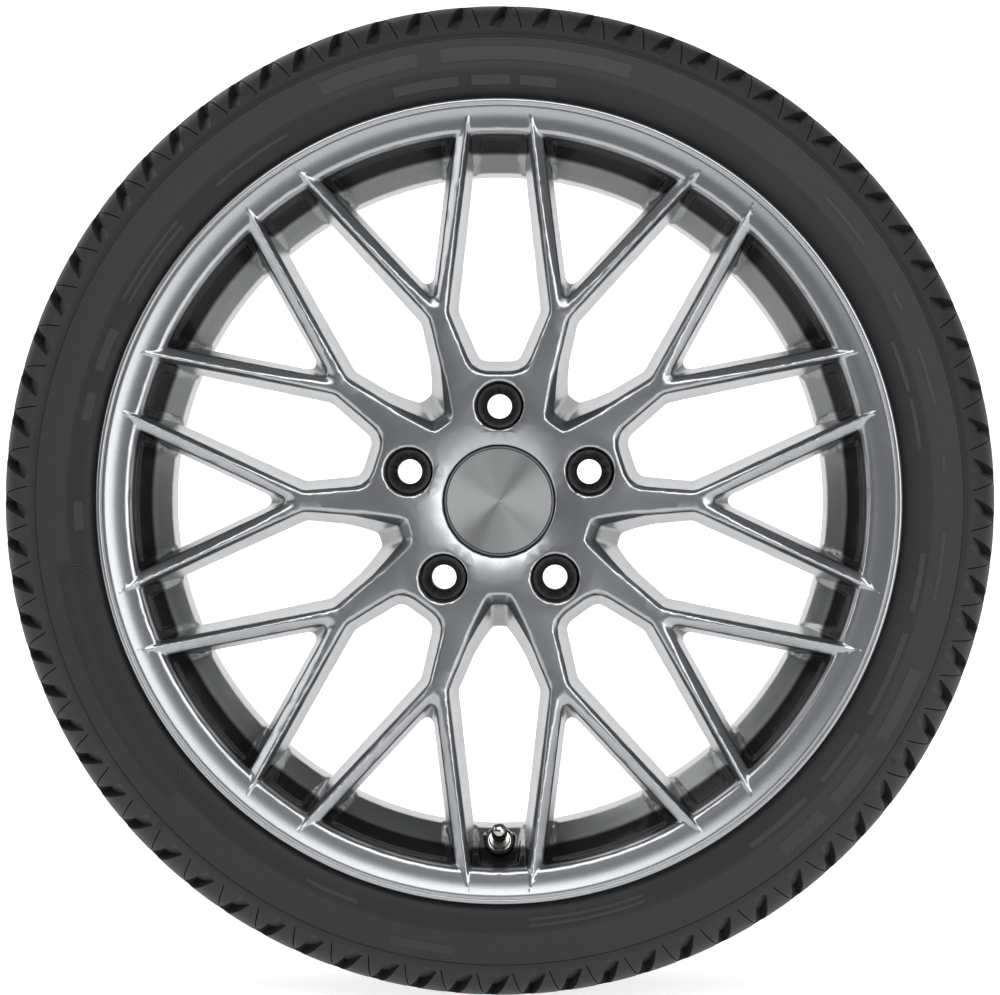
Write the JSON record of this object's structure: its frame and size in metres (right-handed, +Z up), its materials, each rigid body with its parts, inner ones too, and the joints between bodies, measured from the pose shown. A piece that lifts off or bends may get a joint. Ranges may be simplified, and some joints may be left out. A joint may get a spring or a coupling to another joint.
{
  "type": "car wheel with tyre",
  "caption": "Passenger car wheel: low-profile summer tyre on a cast alloy rim with forked Y spokes, snap-in centre cap and metal valve with screw cap",
  "frame": {"origin": "on the spin axis, in the middle of the rim's width, which is also the middle of the tyre", "axes": "+Y points along the spin axis towards the car, the styled side faces -Y, +Z is up with one bolt hole straight above the centre and the valve straight below it, +X is to the right seen from the styled side"},
  "size_m": [0.5897, 0.2032, 0.5898],
  "materials": {
    "tyre": "matt moulded rubber",
    "hyper_silver": "cast aluminium in glossy hyper silver paint",
    "black_plastic": "dark moulded plastic",
    "spun_aluminium": "circularly brushed aluminium",
    "spring_steel": "drawn spring wire",
    "valve_chrome": "nickel-plated, polished",
    "brass": "turned brass",
    "rubber": "moulded rubber seal"
  },
  "bodies": {
    "wheel_body": {"tyre": "tyre", "wheel": "hyper_silver", "cap_body": "black_plastic", "cap_disc": "spun_aluminium", "cap_spring_ring": "spring_steel", "valve_stem": "valve_chrome", "valve_grommet": "rubber", "valve_washer": "valve_chrome", "valve_nut": "valve_chrome", "valve_core_body": "brass", "valve_core_spring": "spring_steel"},
    "core_pin_body": {"valve_core_pin": "brass", "valve_core_seal": "rubber"},
    "cap_lift_body": {"valve_cap_gasket": "rubber"},
    "cap_turn_body": {"valve_cap": "valve_chrome"}
  },
  "joints": [
    {"name": "valve_pin_press", "type": "slide", "parent": "wheel_body", "child": "core_pin_body", "axis": [0, 0.9563, -0.2924], "range_m": [0, 0.0012], "stiffness_N_per_m": 400, "springref_m": -0.001, "deforming": ["valve_core_spring"]},
    {"name": "valve_cap_lift", "type": "slide", "parent": "wheel_body", "child": "cap_lift_body", "axis": [0, -0.9563, 0.2924], "range_m": [0, 0.00549]},
    {"name": "valve_cap_turn", "type": "hinge", "parent": "cap_lift_body", "child": "cap_turn_body", "pos_m": [0, -0.08486, -0.1947], "axis": [0, -0.9563, 0.2924], "range_deg": [0, 2490]}
  ],
  "couplings": [
    {"joint": "valve_cap_turn", "follows": "valve_cap_lift", "rad_per_m": 7913.3}
  ]
}
